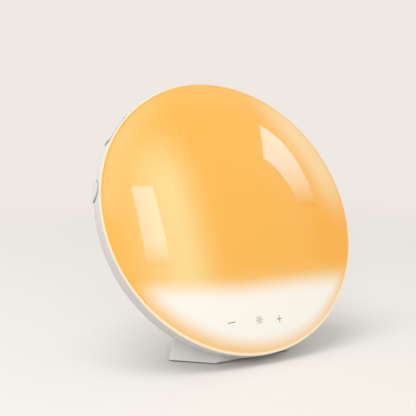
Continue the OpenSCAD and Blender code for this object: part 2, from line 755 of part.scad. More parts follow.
module dc_inlet() color("#202022") in_disc() translate([inlet_at[0], inlet_at[1], 0]) difference() {
    union() {
        translate([-inlet_body[0] / 2, -inlet_body[1] / 2, inlet_seat + part_gap / 2])
            cube([inlet_body[0], inlet_body[1], main_board_z - inlet_seat - part_gap / 2]);
        translate([0, 0, inlet_face]) cylinder(r = inlet_nose_r, h = inlet_seat - inlet_face + 1);
    }
    translate([0, 0, inlet_face - 1]) cylinder(r = inlet_bore_r, h = 1 + inlet_bore_d);
}

module dc_inlet_pin() color("#c9a227") in_disc()
    translate([inlet_at[0], inlet_at[1], inlet_face + 1]) cylinder(r = pin_r, h = inlet_bore_d - 1);

// ---------- stand ----------

front_y = disc_y - stand_front;
widest_y = disc_y - stand_widest;
back_y = disc_y + stand_back;
// Corners of the stand's foot, counter-clockwise from the front left, and the lean of each face
foot = [
    [-stand_front_w / 2, front_y], [stand_front_w / 2, front_y], [stand_w / 2, widest_y],
    [stand_back_w / 2, back_y], [-stand_back_w / 2, back_y], [-stand_w / 2, widest_y]
];
leans = [0, side_front_lean, side_back_lean, back_lean, side_back_lean, side_front_lean];
base_top = foot_gap + base_t;
base_posts = [[stand_w / 2 - 14.6, widest_y + 2], [stand_back_w / 2 - 5, back_y - 19]];
pads_at = [[stand_front_w / 2 - 5.6, front_y + 8.3], [stand_back_w / 2 - 8, back_y - 9]];
base_post_r = 3.2;
post_hole_d = 4.6;      // depth of the screw holes in the posts
head_sunk = 1.2;        // recess round a screw's head in the base plate
pad_sunk = 0.8;         // recess round a foot pad
bolt_pad_z = back_z(norm(stand_bolt_at)) - cradle_gap - stand_t - 2;
bolt_top_z = -disc_depth + 18;

// Faceted block whose faces are moved inwards by inset, cut off below at height low
module stand_block(inset, low) difference() {
    translate([-stand_w, front_y - stand_w, low]) cube([2 * stand_w, 3 * stand_w, 0.7 * stand_w]);
    for (i = [0 : 5]) {
        a = foot[i];
        along = foot[(i + 1) % 6] - a;
        translate([a[0], a[1], foot_gap]) rotate([0, 0, atan2(along[1], along[0])])
            rotate([-leans[i], 0, 0]) translate([-2 * stand_w, inset - 4 * stand_w, -2 * stand_w])
                cube([5 * stand_w, 4 * stand_w, 5 * stand_w]);
    }
}

// The stand's block with the cradle for the disc taken out, all faces moved inwards by inset
module stand_solid(inset, low) difference() {
    stand_block(inset, low);
    in_disc() translate([0, 0, back_cz]) sphere(r = back_r + cradle_gap + inset, $fn = 240);
}

module for_base_posts() for (p = base_posts, side = [-1, 1]) translate([side * p[0], p[1], 0]) children();
module for_ballast_screws() for (x = [-12, 12]) translate([x, widest_y + 12, 0]) children();

// Outer block and cradle, less a cavity that spares the screw posts and the pads under the bolts' heads
module stand_shell() color(white) difference() {
    stand_solid(0, foot_gap);
    difference() {
        stand_solid(stand_t, -stand_w / 4);
        for_base_posts() translate([0, 0, base_top]) cylinder(r = base_post_r, h = stand_w / 2);
        in_disc() for_stand_bolts() translate([0, 0, bolt_pad_z]) cylinder(r = 4.6, h = 12);
    }
    for_base_posts() translate([0, 0, base_top - eps]) cylinder(r = m25[0] + thread_gap, h = post_hole_d);
    in_disc() for_stand_bolts() translate([0, 0, bolt_pad_z - 1]) cylinder(r = m3[0] + screw_gap, h = 12);
}

module stand_base_plate() color("#e4e3e0") difference() {
    intersection() {
        stand_solid(stand_t + plate_gap, foot_gap);
        translate([-stand_w, front_y - stand_w, 0]) cube([2 * stand_w, 3 * stand_w, base_top]);
    }
    for_pads() cylinder(r = foot_r + 0.1, h = foot_gap + pad_sunk);
    for_base_posts() base_screw_room();
    for_ballast_screws() base_screw_room();
}

module ballast_plate() color("#8d9095") difference() {
    intersection() {
        stand_solid(stand_t + 0.8, base_top);
        translate([-stand_w, widest_y - 5, 0]) cube([2 * stand_w, stand_w, base_top + ballast_t]);
    }
    for_base_posts() cylinder(r = base_post_r + part_gap, h = stand_w);
    for_ballast_screws() cylinder(r = m25[0] + thread_gap, h = base_top + ballast_t - 1);
}

// Screws from below, with their heads in the base plate's recesses
module base_screw_room() {
    cylinder(r = m25[0] + screw_gap, h = base_top + 1);
    cylinder(r = m25[1] + screw_gap, h = foot_gap + head_sunk);
}
module base_screw(len) translate([0, 0, foot_gap + head_sunk]) rotate([180, 0, 0]) screw(m25, len);
module base_screws() color(steel) for_base_posts() base_screw(base_t - head_sunk + post_hole_d - 0.4);
module ballast_screws() color(steel) for_ballast_screws() base_screw(base_t - head_sunk + ballast_t - 1.6);

module stand_bolts() color(steel) in_disc() for_stand_bolts()
    translate([0, 0, bolt_pad_z]) rotate([180, 0, 0]) screw(m3, bolt_top_z - bolt_pad_z);

module for_pads() for (p = pads_at, side = [-1, 1]) translate([side * p[0], p[1], 0]) children();
module foot_pads() color("#55555a") for_pads() cylinder(r = foot_r, h = foot_gap + pad_sunk);

front_diffuser();
diffuser_film();
reflector_tray();
led_board();
led_chips();
display_module();
display_segments();
touch_board();
touch_foam_pads();
touch_board_screws();
tray_screws();
rear_housing();
speaker_grille();
speaker_gasket();
speaker_basket();
speaker_magnet();
speaker_surround();
speaker_cone();
dust_cap();
voice_coil();
speaker_screws();
main_board();
board_chips();
board_capacitors();
board_header();
coin_cell_holder();
coin_cell();
dc_inlet();
dc_inlet_pin();
main_board_screws();
power_button();
power_plunger();
upper_key();
upper_key_plunger();
lower_key();
lower_key_plunger();
key_boards();
key_switches();
key_board_screws();
stand_shell();
stand_base_plate();
ballast_plate();
base_screws();
ballast_screws();
stand_bolts();
foot_pads();
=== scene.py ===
"""Sunrise alarm clock: a leaning, glowing opal disc on a low white stand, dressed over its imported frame."""

from math import asin, atan2, cos, hypot, pi, radians, sin, sqrt

import bmesh
import bpy
import numpy as np
from mathutils import Matrix, Vector


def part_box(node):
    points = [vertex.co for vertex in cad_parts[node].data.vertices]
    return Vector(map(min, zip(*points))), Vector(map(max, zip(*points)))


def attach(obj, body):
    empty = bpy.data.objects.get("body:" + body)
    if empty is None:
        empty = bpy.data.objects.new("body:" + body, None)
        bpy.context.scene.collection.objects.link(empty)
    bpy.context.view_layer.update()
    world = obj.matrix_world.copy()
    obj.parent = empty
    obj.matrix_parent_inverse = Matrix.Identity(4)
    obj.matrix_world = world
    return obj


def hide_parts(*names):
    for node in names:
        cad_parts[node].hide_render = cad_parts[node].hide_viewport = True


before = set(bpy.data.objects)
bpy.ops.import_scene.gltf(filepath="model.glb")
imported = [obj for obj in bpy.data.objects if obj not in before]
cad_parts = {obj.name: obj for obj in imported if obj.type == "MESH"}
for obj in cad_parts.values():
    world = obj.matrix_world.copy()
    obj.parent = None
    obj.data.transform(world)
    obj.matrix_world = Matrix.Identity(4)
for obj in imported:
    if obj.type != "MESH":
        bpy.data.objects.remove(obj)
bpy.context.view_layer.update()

scene = bpy.context.scene

# ---------- camera ----------
# A product photograph from the front left, a little above the disc's middle, with a long lens.
# The object's own sizes are given in millimetres all through, and turned into metres as each mesh is made.
MM = 0.001
tilt = radians(26.3)
disc_centre = Vector((0, -6.3907, 92.1513))

yaw, pitch = radians(32.27), radians(8)
camera_back = Vector((-sin(yaw) * cos(pitch), -cos(yaw) * cos(pitch), sin(pitch)))
camera_right = Vector((cos(yaw), -sin(yaw), 0))
camera_up = camera_back.cross(camera_right)
off_back, off_right, off_up = 662.5, -16, 4
camera_place = disc_centre + off_back * camera_back + off_right * camera_right + off_up * camera_up

camera_data = bpy.data.cameras.new("camera")
camera_data.lens, camera_data.sensor_width = 86.54, 36
camera_data.clip_start, camera_data.clip_end = 0.02, 60


def add_object(name, data):
    made = bpy.data.objects.new(name, data)
    scene.collection.objects.link(made)
    return made


camera = add_object("camera", camera_data)
camera.matrix_world = Matrix.Translation(camera_place * MM) @ Matrix(
    (camera_right, camera_up, camera_back)
).transposed().to_4x4()
scene.camera = camera
scene.view_settings.view_transform = "Standard"


# ---------- room ----------
# A wide pale floor that runs into a pale surround, one large soft lamp overhead, another in front at the left, and
# two small strip lights that the glossy dome mirrors.
class Wire:
    """An output socket. Sums and products of wires add their Math nodes, and node() adds any other."""

    def __init__(self, socket):
        self.socket = socket

    def node(self, kind, settings=(), inputs=(), output=0):
        made = self.socket.id_data.nodes.new(kind)
        for name, value in dict(settings).items():
            setattr(made, name, value)
        for name, value in dict(inputs).items():
            if isinstance(value, Wire):
                self.socket.id_data.links.new(value.socket, made.inputs[name])
            else:
                made.inputs[name].default_value = value
        return Wire(made.outputs[output])

    def maths(self, operation, *others):
        """A Math node on this wire and the others, in that order."""
        return self.node("ShaderNodeMath", {"operation": operation}, enumerate((self, *others)))

    def __add__(self, other):
        return self.maths("ADD", other)

    def __sub__(self, other):
        return self.maths("SUBTRACT", other)

    def __rsub__(self, other):
        return self * -1 + other

    def __mul__(self, other):
        return self.maths("MULTIPLY", other)

    def __truediv__(self, other):
        return self.maths("DIVIDE", other)

    __radd__, __rmul__ = __add__, __mul__

    def split(self):
        """The three parts of a vector."""
        parts = self.node("ShaderNodeSeparateXYZ", inputs={0: self}).socket.node
        return [Wire(s) for s in parts.outputs]

    def ramp(self, low, high):
        """0 below low, 1 above high, and smooth between; low may be the larger."""
        if low > high:
            return 1 - self.ramp(high, low)
        return self.node(
            "ShaderNodeMapRange",
            {"interpolation_type": "SMOOTHSTEP"},
            {"Value": self, "From Min": low, "From Max": high},
        )

    def hill(self, middle, left, right):
        """1 at middle, falling away as a bell of these widths below and above it."""
        away = self - middle
        width = left + (right - left) * away.maths("GREATER_THAN", 0)
        share = away / width
        return (share * share * -1).maths("EXPONENT")

    def colour(self, value):
        """A plain colour in this wire's tree."""
        made = self.node("ShaderNodeRGB")
        made.socket.default_value = value
        return made

    def mix(self, mask, other):
        """This colour where mask is 0, and the other where it is 1."""
        return self.node("ShaderNodeMix", {"data_type": "RGBA"}, {0: mask, 6: self, 7: other}, output=2)

    def noise(self, scale, detail=2.0, roughness=0.5):
        return self.node(
            "ShaderNodeTexNoise",
            inputs={"Vector": self, "Scale": scale, "Detail": detail, "Roughness": roughness},
        )

    def bump(self, distance, strength):
        """The normal of a surface that stands up by this distance where the wire is 1."""
        return self.node(
            "ShaderNodeBump", inputs={"Height": self, "Distance": distance, "Strength": strength}
        )


def rgb(red, green, blue):
    """A colour as seen on a screen, from 0 to 255, in the linear numbers that shaders take."""
    shares = (c / 255 for c in (red, green, blue))
    return tuple(c / 12.92 if c <= 0.04045 else ((c + 0.055) / 1.055) ** 2.4 for c in shares) + (1.0,)


def new_material(name):
    """An empty material and the wire of its Object coordinates."""
    material = bpy.data.materials.new(name)
    material.use_nodes = True
    nodes = material.node_tree.nodes
    nodes.clear()
    nodes.new("ShaderNodeOutputMaterial").name = "out"
    return material, Wire(nodes.new("ShaderNodeTexCoord").outputs["Object"])


def close_material(material, shader):
    tree = material.node_tree
    tree.links.new(shader.socket, tree.nodes["out"].inputs["Surface"])
    return material


def sees_backdrop(wire):
    """1 on the rays that see the backdrop's plain colour: the camera's, and those off metal or through glass."""
    camera_ray, glossy_ray, through_ray = (
        wire.node("ShaderNodeLightPath", output=name)
        for name in ("Is Camera Ray", "Is Glossy Ray", "Is Transmission Ray")
    )
    return camera_ray.maths("MAXIMUM", glossy_ray).maths("MAXIMUM", through_ray)


backdrop, black = rgb(238, 233, 226), (0, 0, 0, 1)
floor_tone, floor_bounce = rgb(236, 233, 228), rgb(186, 182, 175)
floor_span, fade_from, fade_to = 12.0, 0.25, 0.85

floor_material, coords = new_material("studio_floor")
east, north, _ = coords.split()
far_off = (east * east + north * north).maths("SQRT")
diffuse_ray = coords.node("ShaderNodeLightPath", output="Is Diffuse Ray")
floor_lit = coords.node(
    "ShaderNodeBsdfPrincipled",
    inputs={
        "Base Color": coords.colour(floor_tone).mix(diffuse_ray, floor_bounce),
        "Roughness": 0.6,
        "Specular IOR Level": 0.25,
    },
)
floor_far = coords.node("ShaderNodeEmission", inputs={"Color": backdrop, "Strength": 1.0})
fade = far_off.ramp(fade_from, fade_to) * sees_backdrop(coords)
floor_shader = coords.node("ShaderNodeMixShader", inputs={0: fade, 1: floor_lit, 2: floor_far})
close_material(floor_material, floor_shader)

floor_mesh = bpy.data.meshes.new("studio_floor")
floor_corners = [(x * floor_span, y * floor_span, 0) for x, y in ((-1, -1), (1, -1), (1, 1), (-1, 1))]
floor_mesh.from_pydata(floor_corners, [], [(0, 1, 2, 3)])
floor_mesh.materials.append(floor_material)
floor = add_object("studio_floor", floor_mesh)

world = bpy.data.worlds.new("studio_air")
scene.world = world
world.use_nodes = True
world.node_tree.nodes.clear()
world_out = world.node_tree.nodes.new("ShaderNodeOutputWorld")
air_strength = 0.62
air_tone = Wire(world.node_tree.nodes.new("ShaderNodeRGB").outputs[0])
air_tone.socket.default_value = (1, 1, 1, 1)
air_seen = sees_backdrop(air_tone)
background = air_tone.node(
    "ShaderNodeBackground",
    inputs={
        "Color": air_tone.mix(air_seen, backdrop),
        "Strength": air_seen * (1 - air_strength) + air_strength,
    },
)
world.node_tree.links.new(background.socket, world_out.inputs["Surface"])

lamp_aim = Vector((0, 0, 0.1))


def soft_lamp(name, place, size, watts):
    """A square lamp at a place in metres, turned to the clock."""
    data = bpy.data.lights.new(name, "AREA")
    data.energy, data.size = watts, size
    lamp = add_object(name, data)
    lamp.location = place
    lamp.rotation_euler = (lamp_aim - Vector(place)).to_track_quat("-Z", "Y").to_euler()
    lamp.visible_glossy = False


soft_lamp("overhead_lamp", (-0.5, -0.1, 1.6), size=1.2, watts=12.4)
soft_lamp("front_lamp", (-0.9, -1.5, 0.75), size=1.0, watts=8.8)


def strip_light(name, colour, strength, rungs):
    """A glowing plane that only mirrors see. From the top down, each rung gives the plane's two edges there, in
    millimetres, and the share of its strength that it glows with."""
    material, coords = new_material(name)
    share_here = coords.node("ShaderNodeAttribute", {"attribute_name": "share"}, output="Fac")
    glow = coords.node("ShaderNodeEmission", inputs={"Color": colour, "Strength": share_here * strength})
    close_material(material, glow)
    one_edge, other_edge, shares = zip(*rungs)
    count = len(rungs)
    mesh = bpy.data.meshes.new(name)
    corners = [Vector(p) * MM for p in one_edge + other_edge]
    mesh.from_pydata(corners, [], [(i, i + 1, i + 1 + count, i + count) for i in range(count - 1)])
    values = mesh.attributes.new("share", "FLOAT", "POINT").data
    for i, share in enumerate(shares + shares):
        values[i].value = share
    mesh.materials.append(material)
    plane = add_object(name, mesh)
    plane.visible_camera = plane.visible_diffuse = plane.visible_shadow = False
    plane.visible_transmission = False


strip_light(
    "left_strip",
    rgb(172, 212, 255),
    6.6,
    [
        ((62, -772, 1023), (184, -770, 1005), 1),
        ((49, -983, 784), (183, -980, 760), 1),
        ((46, -1030, 735), (183, -1030, 710), 0.6),
        ((42, -1092, 660), (182, -1085, 645), 0),
    ],
)
strip_light(
    "right_strip",
    rgb(180, 214, 255),
    7.9,
    [
        ((881, -227, 967), (861, -423, 883), 1),
        ((932, -231, 915), (872, -424, 872), 1),
        ((974, -241, 864), (892, -426, 849), 1),
        ((1024, -286, 778), (919, -434, 812), 0.9),
        ((1058, -345, 690), (961, -461, 739), 0.6),
        ((1078, -430, 585), (998, -525, 640), 0),
    ],
)


# ---------- opal front ----------
# One moulding of opal acrylic: a shallow dome, a thin flange round it that overlaps the housing, and a skirt
# with hooks behind. It is glossy in front, and lit from behind: the lower lamps white, the others amber.
rim_r, flange_w, flange_t = 95.0, 1.8, 1.6
dome_h, lens_t = 12.0, 2.0
wall_r, housing_t = 94.6, 2.2
skirt_gap, skirt_t, skirt_d, skirt_edge = 0.35, 1.6, 8.6, 0.3
skirt_r = wall_r - housing_t - skirt_gap
dome_r = rim_r - flange_w
dome_sphere = (dome_r**2 + dome_h**2) / (2 * dome_h)
dome_base = dome_h - dome_sphere
in_disc = Matrix.Translation(disc_centre) @ Matrix.Rotation(radians(90) - tilt, 4, "X")
smooth_below = radians(35)


def dome_z(r, inset=0.0):
    """Height of the dome over the rim's front plane, at r from the axis."""
    return dome_base + sqrt((dome_sphere - inset) ** 2 - r * r)


def arc(centre, radius, start, end, steps):
    """Points of an arc in a half section, its angles in degrees."""
    angles = [radians(start + (end - start) * i / steps) for i in range(steps + 1)]
    return [(centre[0] + radius * cos(a), centre[1] + radius * sin(a)) for a in angles]


def finish_mesh(mesh, place):
    """Puts a mesh made in millimetres where it belongs, in metres, smooth but for its sharp edges."""
    mesh.transform(Matrix.Scale(MM, 4) @ place)
    mesh.shade_smooth()
    mesh.set_sharp_from_angle(angle=smooth_below)
    return mesh


def outward(mesh, close_ends=False):
    """Turns the faces of a mesh outwards, after it fills the open ends."""
    work = bmesh.new()
    work.from_mesh(mesh)
    if close_ends:
        bmesh.ops.holes_fill(work, edges=[e for e in work.edges if e.is_boundary])
    bmesh.ops.recalc_face_normals(work, faces=work.faces)
    work.to_mesh(mesh)
    work.free()
    return mesh


def coat(mesh, *materials):
    mesh.materials.clear()
    for material in materials:
        mesh.materials.append(material)


def add_piece(name, mesh, body, material, replaces=()):
    """A finished mesh as a piece that rides on a body, coated with the material given. Without a material it keeps
    its own."""
    if material:
        coat(mesh, material)
    piece = add_object(name, mesh)
    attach(piece, body)
    if replaces:
        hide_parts(*replaces)


def new_tree(name, inputs):
    """A geometry node tree with a geometry input and these inputs with their values, and a wire from each."""
    kinds = {int: "Int", float: "Float", tuple: "Vector", type(None): "Material"}
    tree = bpy.data.node_groups.new(name, "GeometryNodeTree")
    tree.interface.new_socket("Geometry", in_out="INPUT", socket_type="NodeSocketGeometry")
    tree.interface.new_socket("Geometry", in_out="OUTPUT", socket_type="NodeSocketGeometry")
    for label, value in inputs.items():
        kind = "NodeSocket" + kinds[type(value)]
        socket = tree.interface.new_socket(label, in_out="INPUT", socket_type=kind)
        if value is not None:
            socket.default_value = value
    entry = tree.nodes.new("NodeGroupInput")
    return tree, {s.name: Wire(s) for s in entry.outputs if s.name}


def close_tree(tree, geometry, material):
    """Ends a tree in Realize Instances and Set Material."""
    real = geometry.node("GeometryNodeRealizeInstances", inputs={0: geometry})
    coated = real.node("GeometryNodeSetMaterial", inputs={"Geometry": real, "Material": material})
    tree.links.new(coated.socket, tree.nodes.new("NodeGroupOutput").inputs[0])


def evaluated(source, add_modifier):
    """The plain mesh that a source mesh becomes under the modifier that is added."""
    carrier = add_object("carrier", source)
    add_modifier(carrier.modifiers)
    graph = bpy.context.evaluated_depsgraph_get()
    mesh = bpy.data.meshes.new_from_object(carrier.evaluated_get(graph))
    bpy.data.objects.remove(carrier)
    return mesh


def grown(tree, source, values):
    """The plain mesh that a tree makes from a source mesh, with these values for its inputs."""

    def grow(modifiers):
        modifier = modifiers.new("grow", "NODES")
        modifier.node_group = tree
        for item in tree.interface.items_tree:
            if item.in_out == "INPUT" and item.name in values:
                modifier[item.identifier] = values[item.name]

    return evaluated(source, grow)


def vector_of(x, y, z):
    wire = next(v for v in (x, y, z) if isinstance(v, Wire))
    return wire.node("ShaderNodeCombineXYZ", inputs=enumerate((x, y, z)))


# A turned part: every point of a half section is carried round the axis, and points that meet are merged
turning, wires = new_tree(
    "turned_part",
    {"Points": 2, "Turns": 96, "Start Angle": 0.0, "Swept Angle": 2 * pi}
    | {"Merge Distance": 0.0005, "Material": None},
)
section, turns = wires["Geometry"], wires["Turns"]
grid = section.node("GeometryNodeMeshGrid", inputs={"Vertices X": wires["Points"], "Vertices Y": turns + 1})
index = section.node("GeometryNodeInputIndex")
along = ((index + 0.5) / (turns + 1)).maths("FLOOR")
around = (index - along * (turns + 1)) / turns
angle = wires["Start Angle"] + around * wires["Swept Angle"]
spot = section.node(
    "GeometryNodeSampleIndex",
    {"data_type": "FLOAT_VECTOR"},
    {"Geometry": section, "Value": section.node("GeometryNodeInputPosition"), "Index": along},
)
radius, _, height = spot.split()
placed = vector_of(radius * angle.maths("COSINE"), radius * angle.maths("SINE"), height)
turned_grid = grid.node("GeometryNodeSetPosition", inputs={"Geometry": grid, "Position": placed})
merged = turned_grid.node(
    "GeometryNodeMergeByDistance", inputs={"Geometry": turned_grid, "Distance": wires["Merge Distance"]}
)
close_tree(turning, merged, wires["Material"])


def turned(name, half_section, turns, start=0.0, sweep=360.0):
    """A mesh turned from a closed or axis-to-axis half section of points (r, z)."""
    line = bpy.data.meshes.new(name)
    line.from_pydata([(r, 0, z) for r, z in half_section], [], [])
    values = {"Points": len(half_section), "Turns": turns}
    values |= {"Start Angle": radians(start), "Swept Angle": radians(sweep)}
    mesh = grown(turning, line, values)
    mesh.name = name
    return outward(mesh, close_ends=sweep < 360)


def joined(name, meshes):
    """Several meshes as one."""
    work = bmesh.new()
    for mesh in meshes:
        work.from_mesh(mesh)
    whole = bpy.data.meshes.new(name)
    work.to_mesh(whole)
    work.free()
    return whole


def dome_arc(r0, r1, inset, steps):
    return [(r, dome_z(r, inset)) for r in (r0 + (r1 - r0) * i / steps for i in range(steps + 1))]


# The lens from its top down to the flange, which it meets in a small fillet, round the rim and back inside
edge_r, fillet = flange_t / 2, 0.35
inner_r = skirt_r - 1.5 * skirt_t
lens_section = (
    dome_arc(0, dome_r - fillet, 0, 40)
    + [(dome_r - 0.12, dome_z(dome_r - fillet) * 0.3), (dome_r + 0.15, 0)]
    + arc((rim_r - edge_r, -edge_r), edge_r, 90, -90, 10)
    + [(inner_r, -flange_t)]
    + dome_arc(inner_r, 0, lens_t, 24)
)
skirt_section = [
    (skirt_r - skirt_t, -flange_t / 2),
    (skirt_r, -flange_t / 2),
    (skirt_r, -skirt_d + skirt_edge),
    (skirt_r - skirt_edge, -skirt_d),
    (skirt_r - skirt_t + skirt_edge, -skirt_d),
    (skirt_r - skirt_t, -skirt_d + skirt_edge),
    (skirt_r - skirt_t, -flange_t / 2),
]
hook_root, hook_out, hook_top, hook_low, hook_edge = skirt_r - skirt_t / 2, 0.8, -6.2, -7.6, 0.4
hook_section = [
    (hook_root, hook_low),
    (hook_root, hook_top),
    (skirt_r + hook_out, hook_top),
    (skirt_r + hook_out, hook_low + hook_edge),
    (skirt_r + hook_out - hook_edge, hook_low),
    (hook_root, hook_low),
]
# Places round the rim are in degrees from the right: the skirt leaves room for the side controls
button_at, button_r = 164, 7.25
skirt_from, skirt_to = button_at + 10, 468
hooks, hook_half = 6, 4
hook_step = (skirt_to - skirt_from) / hooks
hook_places = [skirt_from + (i + 0.5) * hook_step for i in range(hooks)]
opal_meshes = [
    turned("lens", lens_section, 240),
    turned("skirt", skirt_section, 180, skirt_from, skirt_to - skirt_from),
] + [turned("hook", hook_section, 6, place - hook_half, 2 * hook_half) for place in hook_places]


def disc_coords(coords):
    """A piece's coordinates in the disc's own frame in millimetres: x right, y up its face, z out of it."""
    return coords.node(
        "ShaderNodeMapping",
        {"vector_type": "TEXTURE"},
        {
            "Vector": coords,
            "Location": disc_centre * MM,
            "Rotation": (radians(90) - tilt, 0, 0),
            "Scale": (MM, MM, MM),
        },
    )


opal, coords = new_material("opal_acrylic")
local = disc_coords(coords)
x, y, z = local.split()
r = (x * x + y * y).maths("SQRT")

foot_line = y - ((x + 12) * -0.14).maths("MAXIMUM", 0)
rim = (r + y.ramp(-30, -70) * 0.5).ramp(93.4, 94.3)
pale_side = (x.ramp(5, -45) + y.ramp(-20, -60)).maths("MINIMUM", 1)
glow = local.colour(rgb(252, 183, 62))
for mask, tone in (
    # a deeper amber low at the right, and a softer one at the top
    (x.ramp(40, 75) * y.ramp(12, -15) * y.ramp(-52, -40), rgb(255, 175, 30)),
    (y.ramp(62, 92) * 0.5, rgb(250, 190, 95)),
    # painted reflections: the pale patches at the left and at the upper right, round the strip lights' images
    (x.hill(-48, 26, 17) * y.ramp(78, 18) * y.ramp(-75, -40), rgb(252, 217, 140)),
    (
        r.ramp(62, 84) * (x * 0.95 + y * 0.3).ramp(52, 82) * y.ramp(-22, 28) * 0.95,
        rgb(251, 213, 152),
    ),
    # the white lamps at the foot, and their halo
    (y.ramp(-36, -56) * 0.45, rgb(252, 214, 150)),
    (foot_line.ramp(-44, -61) * (r - x.ramp(-45, 45) * 3.2).ramp(94.5, 80), rgb(255, 250, 240)),
    # the dome's edge at the left, and the orange line where it meets the flange
    (r.ramp(76, 90) * r.ramp(92.9, 92) * x.ramp(-20, -60) * y.ramp(-5, 20) * 0.55, rgb(251, 208, 130)),
    (r.ramp(92.2, 93.0) * r.ramp(94.3, 93.5) * y.ramp(-72, -40) * 0.7, rgb(250, 178, 58)),
    # the flange, paler at the left and the foot, and its unlit outer edge
    (rim, rgb(251, 205, 120)),
    (rim * pale_side, rgb(253, 236, 208)),
    (r.ramp(94.2, 94.6) * z.ramp(-0.3, -0.8) * 0.7, rgb(244, 241, 236)),
    # faint clouds in the acrylic
    (local.noise(0.03) * 0.05, rgb(255, 236, 200)),
):
    glow = glow.mix(mask, tone)

# Half of the glow's colour is painted into the acrylic's base colour as painted light, and half shines through it as
# emission
painted_glow_share = 0.5
opal_shader = local.node(
    "ShaderNodeBsdfPrincipled",
    inputs={
        "Base Color": glow.mix(1 - painted_glow_share, black),
        "Roughness": 0.32,
        "Specular IOR Level": 0.15,
        "Coat Weight": 1.0,
        "Coat Roughness": 0.03,
        "Emission Color": glow.mix(1 - z.ramp(-7.0, -1.2), rgb(120, 84, 40)),
        "Emission Strength": 1 - painted_glow_share,
        "Normal": local.noise(0.9, 3.0).bump(0.02 * MM, 0.25),
    },
)
close_material(opal, opal_shader)
opal_mesh = finish_mesh(joined("opal_front", opal_meshes), in_disc)
add_piece("opal_front", opal_mesh, "clock", opal, ["front_diffuser"])


# ---------- touch marks ----------
# Minus, sun and plus for dimming and the lamp, printed in grey on the foot of the dome, over the touch board.
ink_t = 0.04


def stroke(start, end, width, steps=4):
    """A printed stroke that follows the dome, as a closed strip that stands over it and reaches into it by ink_t."""
    start, end = Vector(start), Vector(end)
    side = (end - start).orthogonal().normalized() * width / 2
    verts, faces = [], []
    for i in range(steps + 1):
        middle = start.lerp(end, i / steps)
        for edge in (middle - side, middle + side):
            on_dome = dome_z(hypot(edge.x, edge.y))
            verts += [(edge.x, edge.y, on_dome + ink_t), (edge.x, edge.y, on_dome - ink_t)]
    for i in range(steps):
        a = 4 * i
        faces += [
            (a, a + 4, a + 6, a + 2),
            (a + 1, a + 3, a + 7, a + 5),
            (a, a + 1, a + 5, a + 4),
            (a + 2, a + 6, a + 7, a + 3),
        ]
    faces += [(0, 2, 3, 1), (4 * steps, 4 * steps + 1, 4 * steps + 3, 4 * steps + 2)]
    mesh = bpy.data.meshes.new("stroke")
    mesh.from_pydata(verts, [], faces)
    return mesh


minus_at, sun_at, plus_at = Vector((-23.8, -72.1)), Vector((-3.2, -73.3)), Vector((12.6, -74.4))
mark_w, half_minus, half_plus = 0.56, 2.75, 2.1
sun_w, sun_r, ray_from, ray_to = 0.46, 1.0, 1.6, 2.6
across, upwards = Vector((1, 0)), Vector((0, 1))
marks = [
    stroke(minus_at - half_minus * across, minus_at + half_minus * across, mark_w),
    stroke(plus_at - half_plus * across, plus_at + half_plus * across, mark_w),
    stroke(plus_at - half_plus * upwards, plus_at - mark_w / 2 * upwards, mark_w),
    stroke(plus_at + mark_w / 2 * upwards, plus_at + half_plus * upwards, mark_w),
]
for i in range(8):
    ray = Vector((cos(i * pi / 4), sin(i * pi / 4)))
    marks.append(stroke(sun_at + ray_from * ray, sun_at + ray_to * ray, sun_w, 2))
sun_ring = [Vector((cos(i * pi / 8), sin(i * pi / 8))) * sun_r for i in range(17)]
marks += [stroke(sun_at + a, sun_at + b, sun_w, 1) for a, b in zip(sun_ring, sun_ring[1:])]
mark_mesh = outward(joined("touch_marks", marks))


def finish(name, colour, roughness, mottle=0.06, grain=0.4, depth=0.01, spread=0.08, metallic=0.0, coat=0.0):
    """A moulded, painted or rolled finish: a screen colour that wanders by mottle over patches of 40 grains, a
    roughness that wanders by spread, and a grain of this size and depth in millimetres."""
    material, coords = new_material(name)
    wander = coords.noise(1 / (40 * grain * MM), 3.0)
    fine = coords.noise(1 / (grain * MM), 4.0, 0.6)
    dark, bright = (
        tuple(min(1.0, c * level) for c in rgb(*colour)[:3]) + (1.0,) for level in (1 - mottle, 1 + mottle)
    )
    shader = coords.node(
        "ShaderNodeBsdfPrincipled",
        inputs={
            "Base Color": coords.colour(dark).mix(wander.ramp(0.3, 0.7), bright),
            "Metallic": metallic,
            "Roughness": (fine * 0.5 + wander * 0.5) * spread + (roughness - spread / 2),
            "Coat Weight": coat,
            "Coat Roughness": 0.15,
            "Normal": fine.bump(depth * MM, 0.5),
        },
    )
    return close_material(material, shader)


mark_ink = finish("mark_ink", (150, 148, 144), 0.5, grain=0.2, depth=0.002)
add_piece("touch_marks", finish_mesh(mark_mesh, in_disc), "clock", mark_ink)

# ---------- rear housing ----------
# One white ABS moulding: the wall behind the flange, the rounded corner and the shallow back, with openings
# for the side controls, the speaker grille and the power inlet. Fine spark-eroded texture, satin.
corner_r, wall_d, disc_depth = 12.0, 7.0, 38.0
corner_c = wall_r - corner_r
back_rise = disc_depth - wall_d
back_r = (corner_c**2 + back_rise**2 - corner_r**2) / (2 * (back_rise - corner_r))
back_cz = back_r - disc_depth
back_dir = (corner_c / (back_r - corner_r), (-wall_d - back_cz) / (back_r - corner_r))
# Points of a CAD mesh closer than weld, in metres, are one. A face belongs to the turned skin, outer or inner, where
# it lies within on_skin millimetres of it and their normals agree by the cosine along_skin
weld, on_skin, along_skin = 1e-6, 0.08, 0.95


def off_disc(r, z):
    """Distance from the housing's outer skin, out of it, and the direction out, in a half section."""
    dr, dz = r - corner_c, z + wall_d
    if dz > 0:
        return r - wall_r, (1.0, 0.0)
    if dr > 0 and back_dir[0] * dz - back_dir[1] * dr > 0:
        length = hypot(dr, dz)
        return length - corner_r, (dr / length, dz / length)
    dz = z - back_cz
    length = hypot(r, dz)
    return length - back_r, (r / length, dz / length)


